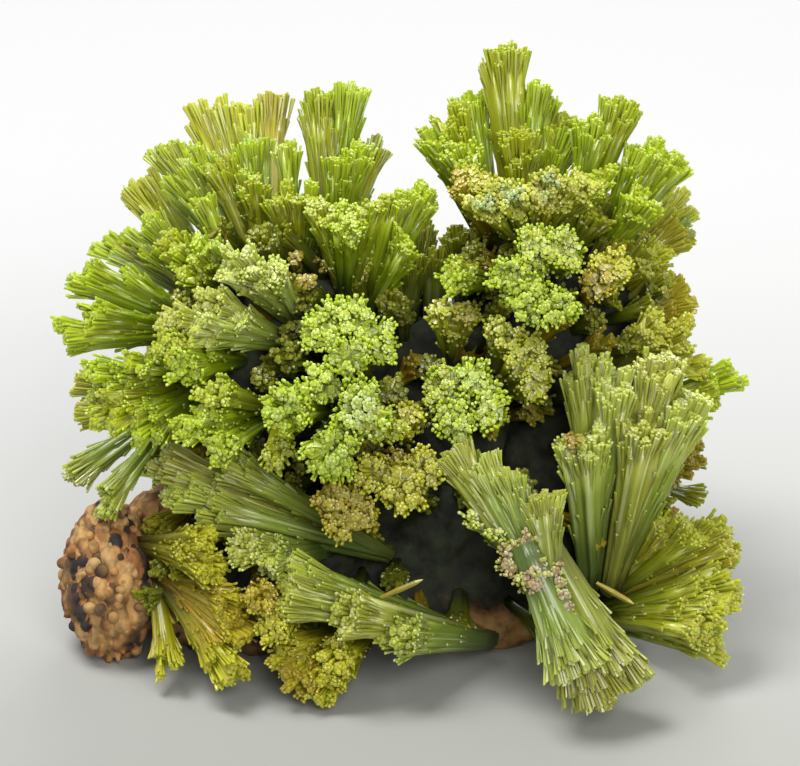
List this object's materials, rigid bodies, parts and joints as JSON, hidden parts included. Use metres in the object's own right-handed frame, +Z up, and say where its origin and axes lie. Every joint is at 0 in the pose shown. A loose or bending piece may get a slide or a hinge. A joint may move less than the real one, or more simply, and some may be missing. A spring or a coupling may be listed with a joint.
{
  "type": "pyromorphite specimen",
  "caption": "Mineral specimen: flaring sheaves of lime to olive green hexagonal crystals on a rusty limonite matrix, standing on a flat base.",
  "frame": {"origin": "middle of the bounding box's footprint, on the surface that the specimen stands on", "axes": "+Z up, -Y towards the side that the picture shows, +X to the right in the picture"},
  "size_m": [0.0434, 0.0342, 0.0352],
  "materials": {
    "pyromorphite": "vitreous, slightly translucent",
    "limonite": "rough"
  },
  "bodies": {
    "root": {"limonite_matrix": "limonite", "bright_front_rosette": "pyromorphite", "centre_upper_rosette": "pyromorphite", "lime_gold_rosette": "pyromorphite", "golden_brown_rosette": "pyromorphite", "yellow_green_rosette": "pyromorphite", "olive_green_fan": "pyromorphite", "olive_twin_blades": "pyromorphite", "left_frilly_fan": "pyromorphite", "left_bright_fan": "pyromorphite", "silky_long_fan": "pyromorphite", "silky_upright_fan": "pyromorphite", "lower_left_blades": "pyromorphite", "left_middle_spray": "pyromorphite", "sparkling_fan": "pyromorphite", "right_dome_fan": "pyromorphite", "upper_middle_blades": "pyromorphite", "tall_top_spray": "pyromorphite", "frosted_dome_spray": "pyromorphite", "left_upper_fan": "pyromorphite", "left_spiky_spray": "pyromorphite", "left_shoulder_fan": "pyromorphite", "left_back_spray": "pyromorphite", "back_left_spray": "pyromorphite", "left_rear_spray": "pyromorphite", "left_columns": "pyromorphite", "bright_right_rosette": "pyromorphite", "frosted_lobed_spray": "pyromorphite", "gold_bud": "pyromorphite", "left_pointing_blade": "pyromorphite", "gold_block": "pyromorphite", "crown_spray": "pyromorphite", "crown_left_spray": "pyromorphite", "right_tall_fan": "pyromorphite", "right_wide_fan": "pyromorphite", "right_shadow_spray": "pyromorphite", "orange_olive_fan": "pyromorphite", "right_frilly_spray": "pyromorphite", "right_pointing_blades": "pyromorphite", "brown_right_fan": "pyromorphite", "glassy_fan_left_branch": "pyromorphite", "glassy_fan_right_branch": "pyromorphite", "broken_foreground_spray": "pyromorphite", "brown_lower_fan": "pyromorphite", "corner_upper_spray": "pyromorphite", "corner_lower_spray": "pyromorphite", "long_diagonal_spray": "pyromorphite", "silvery_blades": "pyromorphite", "long_ground_stem": "pyromorphite", "small_left_fan": "pyromorphite", "lower_left_fan": "pyromorphite", "yellow_olive_sprig": "pyromorphite", "brown_ground_fan": "pyromorphite", "back_upper_fan": "pyromorphite", "back_right_fan": "pyromorphite", "back_left_fan": "pyromorphite", "back_middle_rosette": "pyromorphite", "back_lower_right_fan": "pyromorphite", "back_lower_left_fan": "pyromorphite"}
  },
  "joints": []
}
